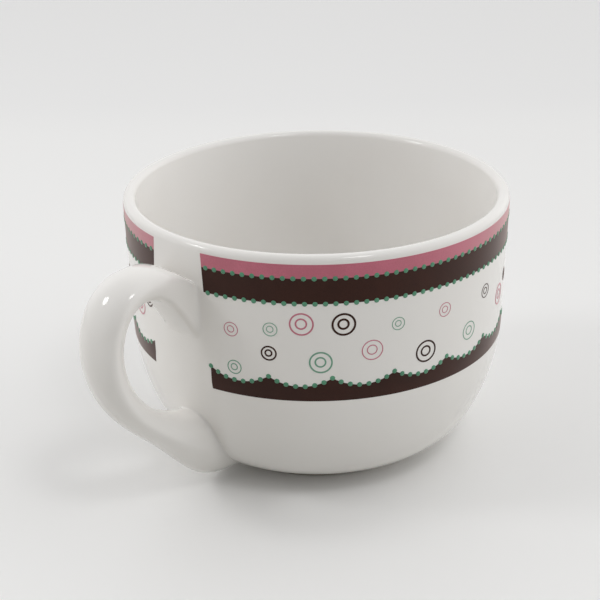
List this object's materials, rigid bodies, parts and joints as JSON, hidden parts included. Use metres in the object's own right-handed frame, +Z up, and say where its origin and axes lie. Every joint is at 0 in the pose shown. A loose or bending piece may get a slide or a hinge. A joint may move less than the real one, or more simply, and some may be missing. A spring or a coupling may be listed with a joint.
{
  "type": "coffee mug",
  "caption": "Wide glazed mug with a rounded base, a raised foot ring, an ear handle luted to the wall, and a printed border of stripes, beads, scallops and ring pairs.",
  "frame": {"origin": "on the table, at the centre of the foot ring, on the cup's axis", "axes": "+Z up along the cup's axis, +X from the axis out to the handle"},
  "size_m": [0.1409, 0.1104, 0.077],
  "materials": {
    "glazed_clay": "clear gloss glaze over warm white clay, bare on the foot ring's underside",
    "slip": "fired slip under the same glaze",
    "pink_ink": "Fired on-glaze enamel, slightly less glossy than the bare glaze",
    "brown_ink": "Fired on-glaze enamel, slightly less glossy than the bare glaze",
    "green_ink": "Fired on-glaze enamel, slightly less glossy than the bare glaze"
  },
  "bodies": {
    "root": {"cup_body": "glazed_clay", "handle": "glazed_clay", "upper_slip_joint": "slip", "lower_slip_joint": "slip", "pink_stripe": "pink_ink", "pink_rings": "pink_ink", "brown_stripe": "brown_ink", "scalloped_band": "brown_ink", "brown_rings": "brown_ink", "upper_bead_row": "green_ink", "middle_bead_row": "green_ink", "scallop_bead_row": "green_ink", "green_rings": "green_ink"}
  },
  "joints": []
}
